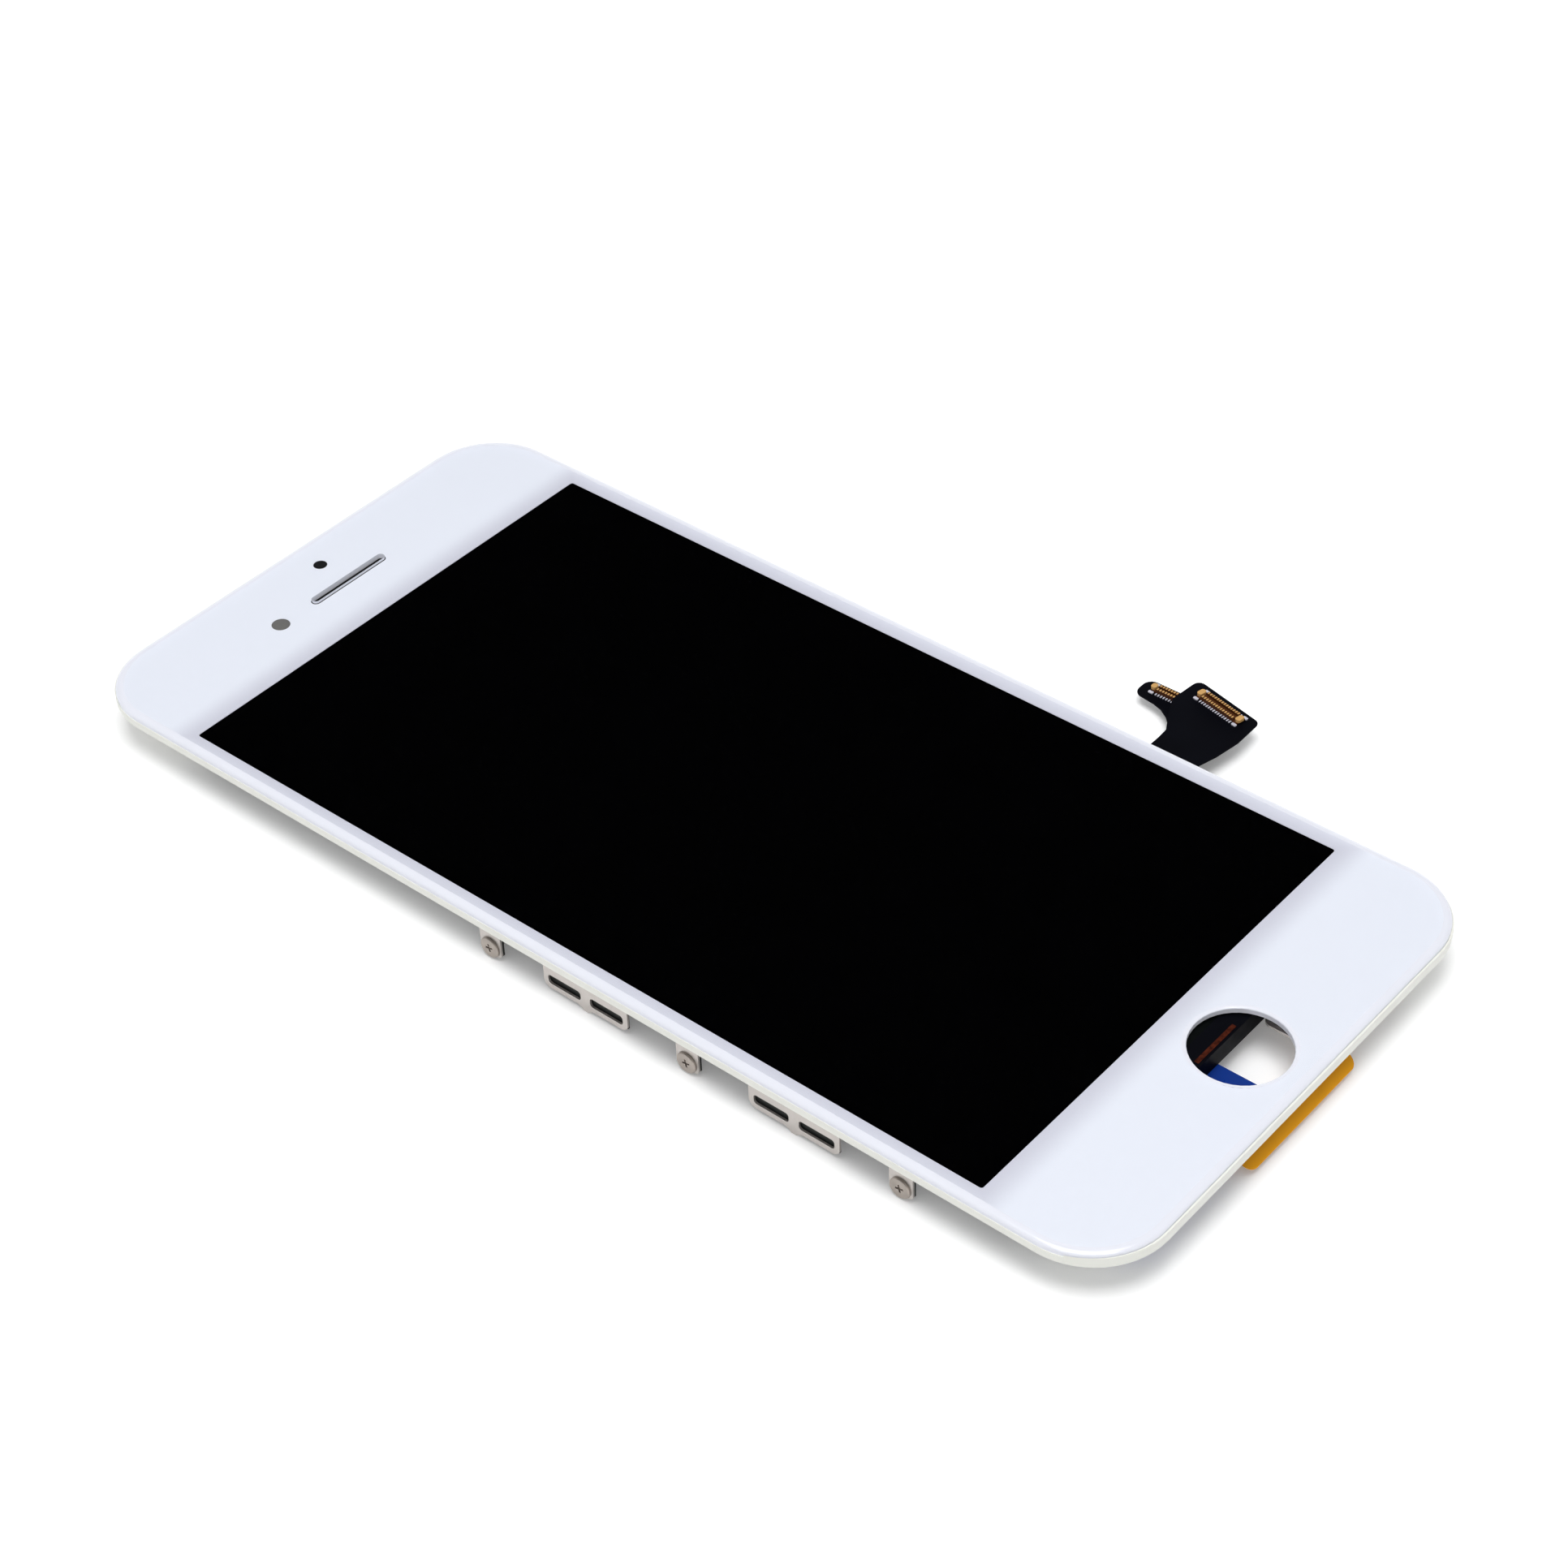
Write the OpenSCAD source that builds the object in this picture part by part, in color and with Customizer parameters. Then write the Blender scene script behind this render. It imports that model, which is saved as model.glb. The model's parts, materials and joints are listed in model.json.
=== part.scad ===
// Display and touch assembly of a phone: cover glass, display module, bezel frame,
// side rails with clips and screws, shield plate and two flexible circuits.
// Millimetres. Origin: centre of the cover glass's front face. X runs across the phone,
// +Y towards the earpiece and +Z out of the front. Depths are counted down from the glass.

/* [Part to draw] */
// Which node to draw

/* [Cover glass] */
// Width of the border between the window and the glass's long sides
side_border = 2.275; // [2:0.025:2.8]
// Width of the border between the window and the glass's ends
end_border = 15.95; // [15:0.05:18]
// Thickness of the glass
glass_t = 0.65; // [0.5:0.05:1]
// Radius of the glass's corners in plan
glass_r = 8.5; // [7:0.25:9.5]
// How far in from the edge the front face starts to curve
edge_run = 0.9; // [0.4:0.1:1.4]
// How far the curved edge drops
edge_drop = 0.35; // [0.2:0.05:0.4]

/* [Openings in the glass] */
// Diameter of the home button hole
home_d = 10.3; // [9:0.1:10.8]
// Distance of the home button hole from the glass's end
home_end = 7.65; // [7.4:0.05:8.2]
// Width of the softened rim round the home button hole
home_soft_w = 0.45; // [0.2:0.05:0.6]
// Depth of that softened rim
home_soft_drop = 0.12; // [0.05:0.01:0.2]
// Length of the earpiece slot
ear_l = 11.1; // [9:0.1:12]
// Width of the earpiece slot
ear_w = 1; // [0.8:0.05:1.4]
// Distance of the earpiece slot from the glass's end
ear_end = 8.8; // [8:0.1:9.6]

/* [Printed border] */
// Width of the clear window over the display
window_w = 58.85; // [56:0.05:66]
// Length of the clear window over the display
window_l = 104.9; // [98:0.1:120]
// Thickness of the printed layer
ink_t = 0.04; // [0.02:0.01:0.08]
// Diameter of the camera's clear spot
camera_d = 2.1; // [1.6:0.1:2.8]
// Sideways place of the camera's clear spot
camera_x = -10.5; // [-12:0.1:-9.5]
// Diameter of the dark sensor spot
sensor_d = 1.6; // [1.2:0.1:2.2]
// Distance of the sensor spot from the glass's end
sensor_end = 4.2; // [3.8:0.1:4.8]

/* [Display module] */
// Thickness of the optical adhesive under the glass
adhesive_t = 0.12; // [0.08:0.01:0.2]
// Thickness of the front polariser
front_polariser_t = 0.1; // [0.06:0.01:0.15]
// Thickness of the colour filter glass
filter_glass_t = 0.15; // [0.1:0.01:0.2]
// Thickness of the circuit glass
circuit_glass_t = 0.15; // [0.1:0.01:0.2]
// Thickness of the rear polariser
rear_polariser_t = 0.08; // [0.05:0.01:0.12]
// Thickness of the prism film
prism_t = 0.12; // [0.08:0.01:0.2]
// Thickness of the diffuser film
diffuser_t = 0.1; // [0.06:0.01:0.2]
// Thickness of the light guide
guide_t = 0.6; // [0.4:0.05:0.65]
// Thickness of the reflector film
reflector_t = 0.08; // [0.05:0.01:0.12]
// Sheet thickness of the backlight chassis
chassis_t = 0.12; // [0.1:0.01:0.2]
// Thickness of the foam pads between the backlight and the shield plate
pad_t = 0.3; // [0.2:0.05:0.35]
// How far the panel reaches past the window at each side
panel_side = 0.45; // [0.3:0.05:0.45]
// How far the panel reaches past the window at the earpiece end
panel_top = 1.2; // [0.8:0.1:1.4]
// Length of the circuit glass's ledge past the window at the home button end
panel_ledge = 5.45; // [5:0.05:5.5]
// Length of the driver chip
driver_l = 22; // [16:1:30]
// Width of the driver chip
driver_w = 1.1; // [0.8:0.1:1.4]
// Number of backlight lamps
lamp_count = 12; // [8:1:16]

/* [Bezel frame] */
// Depth of the bezel's underside below the glass
frame_drop = 1.06; // [0.9:0.01:1.2]
// How far the bezel stands proud of the glass at both ends
end_proud = 0.25; // [0.15:0.05:0.4]
// How far the bezel's rim rises beside the glass at both ends
rim_up = 0.22; // [0.1:0.02:0.25]
// Size of the rounded lower edge
frame_round = 0.18; // [0.1:0.01:0.25]
// Width of the opening round the home button
pocket_w = 19.6; // [16:0.2:22]
// Width of plastic left between that opening and the end
pocket_wall = 1.5; // [1:0.1:2]

/* [Side rails] */
// Sheet thickness of the rails
rail_t = 0.25; // [0.2:0.05:0.3]
// How far the rails stand in from the glass's edge
rail_inset = 0.5; // [0.4:0.05:0.6]
// Lengthwise place of the middle screw tab
tab_mid_y = -18.25; // [-20:0.05:-17.5]
// Distance from one screw tab to the next
tab_pitch = 26.2; // [26:0.05:27]
// Width of a screw tab
tab_w = 2.8; // [2.5:0.1:3]
// Depth of a screw tab's lower edge below the glass
tab_h = 5.05; // [5:0.05:5.2]
// Depth of the screws' axes below the glass
screw_h = 4.05; // [3.95:0.05:4.1]
// Distance from one double clip to the next
clip_pitch = 26.65; // [26:0.05:27]
// Width of a double clip
clip_w = 11.15; // [10.8:0.05:12]
// Depth of a clip's lower edge below the glass
clip_h = 4.9; // [4.8:0.05:5]
// Radius of a clip's lower corners
clip_r = 0.9; // [0.5:0.1:1.2]
// Height of the clip's slots
slot_h = 1.15; // [0.8:0.05:1.3]
// Width of the bar between a clip's slots
slot_bar = 1.25; // [1:0.05:1.5]
// Width of metal below and beside a clip's slots
slot_rim = 0.62; // [0.5:0.02:0.8]
// How far the nub reaches below a clip
nub_drop = 0.5; // [0.4:0.02:0.8]
// Width of the nub's tip
nub_tip = 1.1; // [0.8:0.1:1.4]

/* [Side screws] */
// Diameter of a screw's head
head_d = 2.4; // [2:0.1:2.6]
// Thickness of a screw's head
head_t = 0.25; // [0.2:0.05:0.4]
// Diameter of a screw's shank
shank_d = 1.2; // [1:0.05:1.3]
// Length of a screw's shank
shank_l = 1.4; // [1:0.1:2]
// Size of the cross recess
cross_w = 0.95; // [0.6:0.05:1.1]

/* [Shield plate] */
// Sheet thickness of the shield plate
shield_t = 0.26; // [0.2:0.02:0.3]
// Depth of the shield's side flanges below the glass
flange_h = 4.85; // [4.8:0.05:4.95]
// Length of the gap in the right rail for the circuits
cable_gap_l = 13; // [12:0.5:15]

/* [End brackets] */
// Sheet thickness of both end brackets
bracket_t = 0.26; // [0.2:0.02:0.3]
// Sideways place of the bracket's ear beside the home button opening
bracket_ear_x = 6.5; // [6:0.1:7.5]
// Distance between the home button bracket's two threads
post_pitch = 30; // [28:0.5:34]
// Diameter of the threaded posts
post_d = 2.8; // [2.4:0.1:3.4]
// Diameter of the threads
thread_d = 1.2; // [1:0.05:1.4]
// Distance between the earpiece bracket's two threads
ear_post_pitch = 36; // [35:0.5:38]
// Width of a hook at the earpiece end
hook_w = 5; // [3:0.5:8]
// Distance between the two hooks
hook_pitch = 28; // [24:1:34]

/* [Flexible circuits] */
// Thickness of a flexible circuit
flex_t = 0.12; // [0.08:0.01:0.15]
// Thickness of the plate behind a connector
backing_t = 0.15; // [0.1:0.01:0.2]
// Height of a connector
plug_h = 0.55; // [0.4:0.05:0.6]
// Width of the display connector
plug_w = 1.25; // [1.15:0.05:1.5]
// Width of the touch connector
touch_w = 1; // [0.9:0.05:1.2]
// How far the circuits' tail reaches out past the glass
tail_reach = 14.85; // [14:0.05:17]
// Lengthwise place of the tail
tail_y = -29.3; // [-30.5:0.1:-28.5]
// Width of the display circuit where it folds round the module
fold_w = 22; // [18:0.5:26]
// Number of contacts in each row of the display connector
display_pins = 14; // [10:1:16]
// Number of contacts in each row of the touch connector
touch_pins = 9; // [6:1:10]
// Distance from one contact to the next
pin_pitch = 0.35; // [0.3:0.01:0.4]
// Turn of the display circuit's head from straight, in degrees
head_turn = 12; // [8:0.5:15]

/* [Film and pull tab] */
// Thickness of the blue film
film_t = 0.05; // [0.03:0.01:0.1]
// Width of the blue film
film_w = 24; // [16:1:26]
// Width of the pull tab
pull_w = 18.4; // [14:0.2:22]
// Thickness of the pull tab
pull_t = 0.12; // [0.08:0.01:0.2]
// How far the pull tab's edge hangs below the glass
pull_h = 4.55; // [4.2:0.05:4.8]
// How far the pull tab's edge stays short of the bezel's end
pull_short = 0.15; // [0:0.05:0.6]

/* [Hidden] */
$fn = 64;
cut = 1;
// Seating clearance between layers, and the clearance of what is free
seat = 0.02;
free = 0.1;
window_r = 0.3;
spot_r = sensor_d / 2 + 0.4;

// The glass and the places of its openings follow the window and its borders
glass_w = window_w + 2 * side_border;
glass_l = window_l + 2 * end_border;
home_y = glass_l / 2 - home_end;
ear_y = glass_l / 2 - ear_end;
sensor_y = glass_l / 2 - sensor_end;

// Depths of the layers below the glass, from the front to the back
ink_h = glass_t + seat;
ink_end = ink_h + ink_t;
adhesive_h = ink_end + seat;
polariser_h = adhesive_h + adhesive_t + seat;
filter_h = polariser_h + front_polariser_t + seat;
circuit_h = filter_h + filter_glass_t + seat;
circuit_end = circuit_h + circuit_glass_t;
rear_h = circuit_end + seat;
ring_h = rear_h + rear_polariser_t + seat;
prism_h = ring_h;
diffuser_h = prism_h + prism_t + seat;
guide_h = diffuser_h + diffuser_t + seat;
reflector_h = guide_h + guide_t + seat;
reflector_end = reflector_h + reflector_t;
chassis_h = reflector_end + seat;
chassis_end = chassis_h + chassis_t;
pad_h = chassis_end + seat;
shield_h = pad_h + pad_t + seat;
shield_end = shield_h + shield_t;

// Outlines of the display module
light_w = window_w;
light_l = window_l + 0.9;
panel_w = window_w + 2 * panel_side;
panel_y1 = window_l / 2 + panel_top;
panel_y0 = -window_l / 2 - panel_ledge;
chassis_x = panel_w / 2 + free + chassis_t;
chassis_y1 = panel_y1 + free + chassis_t;
chassis_y0 = panel_y0 - free - chassis_t;

// Bezel frame
frame_h = adhesive_h;
frame_end = glass_t + frame_drop;
frame_l = glass_l + 2 * end_proud;
frame_r = glass_r + end_proud / 2;
module_x = chassis_x + free;
module_y1 = chassis_y1 + free;

// The display circuit folds round the module's end
fold_y = chassis_y0 - 2 * free - 0.32;
fold_h = circuit_h - seat - flex_t;
module_y0 = fold_y - flex_t - free;
fold_x = 3;
pocket_y0 = -frame_l / 2 + pocket_wall;

// Side rails and shield plate
rail_x = glass_w / 2 - rail_inset;
rail_h = frame_end + seat;
rail_in = chassis_x + free + 0.05;
shield_x = rail_x - rail_t - free;
tab_ys = [for (i = [-1:1]) tab_mid_y + i * tab_pitch];
clip_ys = [for (i = [-1, 1]) tab_mid_y + i * clip_pitch / 2];
slot_l = (clip_w - slot_bar - 2 * slot_rim) / 2;
rail_y1 = tab_ys[2] + tab_w / 2;
rail_y0 = tab_ys[0] - tab_w / 2;
floor_h = clip_h + nub_drop;

// Flexible circuits on the shield's back
display_h = shield_end + seat;
display_end = display_h + flex_t;
touch_h = display_end + seat;
touch_drop = backing_t + plug_h + 2 * seat;
touch_head_h = touch_h + touch_drop;
tail_k = tail_reach / 14.85;
plug_l = display_pins * pin_pitch;
touch_l = touch_pins * pin_pitch;
cap_l = 0.75;
display_plug = [glass_w / 2, tail_y] + [12.35, 0.5] * tail_k;
touch_plug = [glass_w / 2, tail_y - touch_l / 2 - cap_l / 2] + [11.68, 8.49] * tail_k;

// Film and tab behind the home button end
film_h = display_end + seat;
film_x1 = -0.5;
film_y0 = -frame_l / 2 + 1.9;
pull_start = frame_l / 2 - 3.7;
pull_reach = frame_l / 2 - pull_short;

// A flat layer between two depths
module layer(top, bottom) {
    translate([0, 0, -bottom]) linear_extrude(bottom - top) children();
}

// A sheet standing across X, drawn as [y, z]
module standing(x, thick) {
    translate([x, 0, 0]) rotate([90, 0, 90]) linear_extrude(thick) children();
}

// A rectangle with round corners
module round_rect(w, l, r) {
    square([w - 2 * r, l], center = true);
    square([w, l - 2 * r], center = true);
    for (sx = [-1, 1], sy = [-1, 1]) {
        translate([sx * (w / 2 - r), sy * (l / 2 - r)]) circle(r);
    }
}

// A slot with round ends along X
module slot_shape(l, w) {
    square([l - w, w], center = true);
    for (s = [-1, 1]) translate([s * (l - w) / 2, 0]) circle(w / 2);
}

// A rectangle given by its limits
module span(x0, x1, y0, y1) {
    translate([x0, y0]) square([x1 - x0, y1 - y0]);
}

// Points of an arc
function arc(c, r, a0, a1, n) =
    [for (i = [0:n]) let (a = a0 + (a1 - a0) * i / n) [c[0] + r * cos(a), c[1] + r * sin(a)]];

// A plate whose edge follows the points [inset, depth] from front to back
module edged_plate(w, l, r, pts) {
    left = [for (p = pts) [p[0], -p[1]]];
    count = len(pts);
    rotate([90, 0, 0]) linear_extrude(l - 2 * r, center = true) polygon(concat(
        [for (p = left) [-w / 2 + p[0], p[1]]],
        [for (i = [count - 1:-1:0]) [w / 2 - left[i][0], left[i][1]]]
    ));
    rotate([90, 0, 90]) linear_extrude(w - 2 * r, center = true) polygon(concat(
        [for (p = left) [-l / 2 + p[0], p[1]]],
        [for (i = [count - 1:-1:0]) [l / 2 - left[i][0], left[i][1]]]
    ));
    for (sx = [-1, 1], sy = [-1, 1]) {
        translate([sx * (w / 2 - r), sy * (l / 2 - r), 0]) rotate_extrude() polygon(concat(
            [[0, left[0][1]]],
            [for (p = left) [r - p[0], p[1]]],
            [[0, left[count - 1][1]]]
        ));
    }
}

// Places of the openings in the glass and the layers below it
module at_home() {
    translate([0, -home_y]) children();
}
module at_ear() {
    translate([0, ear_y]) children();
}
module at_camera() {
    translate([camera_x, ear_y]) children();
}
module at_sensor() {
    translate([0, sensor_y]) children();
}

// Clear glass with a curved front edge, the home button hole and the earpiece slot
module cover_glass() {
    edge = [for (i = [0:6]) let (a = 15 * i)
        [edge_run * (1 - sin(a)), edge_drop * (1 - cos(a))]];
    soft = [for (i = [0:3]) let (a = 30 * i)
        [home_d / 2 + home_soft_w * (1 - sin(a)), -home_soft_drop * (1 - cos(a))]];
    color([0.8, 0.85, 0.88, 0.35]) difference() {
        edged_plate(glass_w, glass_l, glass_r, concat(edge, [[0, glass_t]]));
        layer(-cut, glass_t + cut) at_home() circle(home_d / 2);
        translate([0, -home_y, 0]) rotate_extrude() polygon(concat(
            [[0, cut], [home_d / 2 + home_soft_w, cut]],
            soft,
            [[0, -home_soft_drop]]
        ));
        layer(-cut, glass_t + cut) at_ear() slot_shape(ear_l, ear_w);
    }
}

// White border printed on the back of the glass
module border_print() {
    edge = free + 0.05;
    color([0.93, 0.94, 0.96]) layer(ink_h, ink_end) difference() {
        round_rect(glass_w - 2 * edge, glass_l - 2 * edge, glass_r - edge);
        round_rect(window_w, window_l, window_r);
        at_home() circle(home_d / 2 + free);
        at_ear() slot_shape(ear_l + 2 * free, ear_w + 2 * free);
        at_camera() circle(camera_d / 2);
        at_sensor() circle(sensor_d / 2);
    }
}

// Dark spot printed over the light sensor
module sensor_spot() {
    color([0.02, 0.02, 0.02]) layer(ink_end + seat, ink_end + seat + ink_t)
        at_sensor() circle(spot_r);
}

// Ring that centres the front camera, with a thin floor
module camera_ring() {
    ring_in = camera_d / 2 + 0.5;
    ring_out = ring_in + 1;
    color([0.42, 0.41, 0.4]) {
        layer(frame_h, frame_h + 0.3) at_camera() circle(ring_out);
        layer(frame_h, frame_end) at_camera() difference() {
            circle(ring_out);
            circle(ring_in);
        }
    }
}

// Mesh strip that fills the earpiece slot, on its adhesive carrier
module earpiece_mesh() {
    color([0.16, 0.16, 0.17]) {
        layer(frame_h, frame_h + 0.15) at_ear() slot_shape(ear_l + 1.6, ear_w + 1.6);
        layer(glass_t - 0.06, frame_h + 0.1) at_ear() slot_shape(ear_l - 2 * free, ear_w - 2 * free);
    }
}

// Adhesive that fills the window and bonds the panel to the glass
module optical_adhesive() {
    color([0.75, 0.8, 0.82, 0.35]) {
        layer(adhesive_h, adhesive_h + adhesive_t)
            square([light_w + 0.4, light_l + 0.4], center = true);
        layer(ink_h, adhesive_h + adhesive_t / 2)
            round_rect(window_w - 2 * free, window_l - 2 * free, window_r);
    }
}

module front_polariser() {
    color([0.03, 0.03, 0.035]) layer(polariser_h, polariser_h + front_polariser_t)
        square([light_w + 0.2, light_l + 0.2], center = true);
}

module filter_glass() {
    color([0.3, 0.35, 0.36]) layer(filter_h, filter_h + filter_glass_t)
        span(-panel_w / 2, panel_w / 2, -light_l / 2 - 0.4, panel_y1);
}

module circuit_glass() {
    color([0.35, 0.4, 0.4]) layer(circuit_h, circuit_end)
        span(-panel_w / 2, panel_w / 2, panel_y0, panel_y1);
}

// Driver chip on the circuit glass's ledge
module driver_chip() {
    y1 = -light_l / 2 - 0.4 - 2 * free;
    color([0.08, 0.08, 0.09]) layer(circuit_h - seat - 0.15, circuit_h - seat)
        span(-driver_l / 2, driver_l / 2, y1 - driver_w, y1);
}

module rear_polariser() {
    color([0.12, 0.12, 0.13]) layer(rear_h, rear_h + rear_polariser_t)
        square([light_w + 0.3, light_l + 0.3], center = true);
}

// Films and plates inside the backlight frame
module light_sheet(h, thick) {
    layer(h, h + thick) square([light_w, light_l], center = true);
}
module prism_film() {
    color([0.85, 0.88, 0.9]) light_sheet(prism_h, prism_t);
}
module diffuser_film() {
    color([0.93, 0.93, 0.92]) light_sheet(diffuser_h, diffuser_t);
}
module light_guide() {
    color([0.86, 0.9, 0.92]) light_sheet(guide_h, guide_t);
}
module reflector_film() {
    color([0.9, 0.9, 0.9]) light_sheet(reflector_h, reflector_t);
}

// Where the backlight's lamps stand, beside the light guide
lamp_y1 = -light_l / 2 - free;
lamp_deep = 1.1;
lamp_y0 = lamp_y1 - lamp_deep;

// White plastic ring round the films
module backlight_frame() {
    color([0.88, 0.88, 0.86]) layer(ring_h, reflector_end) difference() {
        span(-panel_w / 2, panel_w / 2, panel_y0, panel_y1);
        span(-light_w / 2 - free, light_w / 2 + free, lamp_y0 - free, light_l / 2 + free);
    }
}

// Row of lamps on their strip
module lamp_strip() {
    pitch = (light_w - 6) / lamp_count;
    color([0.9, 0.86, 0.6]) {
        layer(guide_h + guide_t - 0.08, guide_h + guide_t + 0.05)
            span(-light_w / 2 + 1, light_w / 2 - 1, lamp_y0, lamp_y1);
        for (i = [0:lamp_count - 1]) {
            translate([(i - (lamp_count - 1) / 2) * pitch, 0])
                layer(guide_h, guide_h + guide_t - 0.04)
                    span(-pitch / 3, pitch / 3, lamp_y0 + 0.1, lamp_y1);
        }
    }
}

// Thin steel tray round the backlight
module backlight_chassis() {
    color([0.55, 0.56, 0.57]) difference() {
        layer(ring_h, chassis_end) span(-chassis_x, chassis_x, chassis_y0, chassis_y1);
        layer(ring_h - cut, chassis_h) span(
            -chassis_x + chassis_t, chassis_x - chassis_t,
            chassis_y0 + chassis_t, chassis_y1 - chassis_t
        );
    }
}

// Black foam strips that keep the shield plate off the backlight
module shield_pads() {
    inset = 3;
    color([0.05, 0.05, 0.05]) layer(pad_h, pad_h + pad_t) {
        for (s = [-1, 1]) {
            translate([s * (chassis_x - inset), 0]) square([2, light_l - 12], center = true);
            translate([0, s * (light_l / 2 - inset)]) square([light_w - 14, 2], center = true);
        }
    }
}

// White plastic bezel: a rim at both ends of the glass, ledges below it and open in the middle
module bezel_frame() {
    rim_h = glass_t - rim_up;
    beside = free / 2;
    round_off = [for (i = [0:4]) let (a = 22.5 * i)
        [frame_round * (1 - cos(a)), frame_end - frame_round * (1 - sin(a))]];
    color([0.92, 0.92, 0.9]) difference() {
        edged_plate(glass_w, frame_l, frame_r, concat([[0.05, rim_h], [0, rim_h + 0.05]], round_off));
        layer(rim_h - cut, frame_h)
            round_rect(glass_w + 2 * beside, glass_l + 2 * beside, glass_r + beside);
        layer(frame_h - cut, frame_end + cut) {
            span(-module_x, module_x, module_y0, module_y1);
            translate([0, (pocket_y0 + module_y0 + 2) / 2])
                round_rect(pocket_w, module_y0 + 2 - pocket_y0, 2);
            at_camera() circle(camera_d / 2 + 1.5 + free);
            at_ear() slot_shape(ear_l + 1.6 + 2 * free, ear_w + 1.6 + 2 * free);
            at_sensor() circle(spot_r + free);
        }
    }
}

// A plate hanging from the rail with round lower corners, drawn as [y, z]
module hanging(w, bottom, r) {
    span(-w / 2, w / 2, -bottom + r, -rail_h);
    span(-w / 2 + r, w / 2 - r, -bottom, -rail_h);
    for (s = [-1, 1]) translate([s * (w / 2 - r), -bottom + r]) circle(r);
}

// Outline of a screw tab
module tab_shape() {
    difference() {
        hanging(tab_w, tab_h, 0.5);
        translate([0, -screw_h]) circle(shank_d / 2 + free);
    }
}

// Outline of a double clip with two slots and a nub
module clip_shape() {
    slot_z = -clip_h + slot_rim + slot_h / 2;
    difference() {
        union() {
            hanging(clip_w, clip_h, clip_r);
            polygon([
                [-nub_tip, -clip_h + 0.1], [-nub_tip * 0.95, -clip_h],
                [-nub_tip * 0.62, -clip_h - nub_drop * 0.3],
                [-nub_tip / 2, -floor_h + 0.25], [-nub_tip / 2 + 0.25, -floor_h],
                [nub_tip / 2 - 0.25, -floor_h], [nub_tip / 2, -floor_h + 0.25],
                [nub_tip * 0.62, -clip_h - nub_drop * 0.3],
                [nub_tip * 0.95, -clip_h], [nub_tip, -clip_h + 0.1]
            ]);
        }
        for (s = [-1, 1]) {
            translate([s * (slot_bar + slot_l) / 2, slot_z]) round_rect(slot_l, slot_h, 0.38);
        }
    }
}

// Rail on the bezel's underside with its tabs and clips, for one side
module rail(side, clips, parts) {
    for (p = parts) {
        layer(rail_h, rail_h + rail_t) span(
            side > 0 ? rail_in : -rail_x, side > 0 ? rail_x : -rail_in, p[0], p[1]
        );
    }
    standing(side > 0 ? rail_x - rail_t : -rail_x, rail_t) {
        for (y = tab_ys) translate([y, 0]) tab_shape();
        for (y = clips) translate([y, 0]) clip_shape();
    }
}
module left_rail() {
    color([0.74, 0.72, 0.7]) rail(-1, clip_ys, [[rail_y0, rail_y1]]);
}
module right_rail() {
    color([0.74, 0.72, 0.7]) rail(1, [clip_ys[1]], [
        [tail_y + cable_gap_l / 2, rail_y1],
        [rail_y0, tail_y - cable_gap_l / 2]
    ]);
}

// One screw with its axis along -X, its head's seat at the origin
module screw() {
    rotate([0, -90, 0]) difference() {
        union() {
            translate([0, 0, seat]) cylinder(h = head_t - 0.08, d = head_d);
            translate([0, 0, seat + head_t - 0.08])
                cylinder(h = 0.08, d1 = head_d, d2 = head_d - 0.16);
            translate([0, 0, -shank_l]) cylinder(h = shank_l + 2 * seat, d = shank_d);
        }
        for (a = [0, 90]) {
            rotate([0, 0, a + 12]) translate([-cross_w / 2, -0.11, head_t * 0.3 + seat])
                cube([cross_w, 0.22, cut]);
        }
    }
}
module side_screws() {
    color([0.66, 0.63, 0.6]) for (y = tab_ys) {
        translate([-rail_x, y, -screw_h]) screw();
        translate([rail_x, y, -screw_h]) mirror([1, 0, 0]) screw();
    }
}

// A wing of the shield plate with its flange, on one side
module wing(side, y, w) {
    layer(shield_h, shield_end) span(
        side > 0 ? chassis_x - 1 : -shield_x, side > 0 ? shield_x : -chassis_x + 1,
        y - w / 2, y + w / 2
    );
    standing(side > 0 ? shield_x - shield_t : -shield_x, shield_t)
        span(y - w / 2, y + w / 2, -flange_h, -shield_h);
}

// Back plate, with wings that take the screws and back the clips
module shield_plate() {
    y1 = panel_y1 - 1;
    y0 = chassis_y0 + 1.2;
    color([0.2, 0.21, 0.21]) difference() {
        union() {
            layer(shield_h, shield_end) span(-chassis_x, chassis_x, y0, y1);
            for (s = [-1, 1], y = tab_ys) wing(s, y, tab_w - 2 * free);
            for (y = clip_ys) wing(-1, y, clip_w - 6 * free);
            wing(1, clip_ys[1], clip_w - 6 * free);
        }
        for (y = tab_ys) {
            standing(-shield_x - cut, 2 * shield_x + 2 * cut)
                translate([y, -screw_h]) circle(shank_d / 2 + seat);
        }
    }
}

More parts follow.
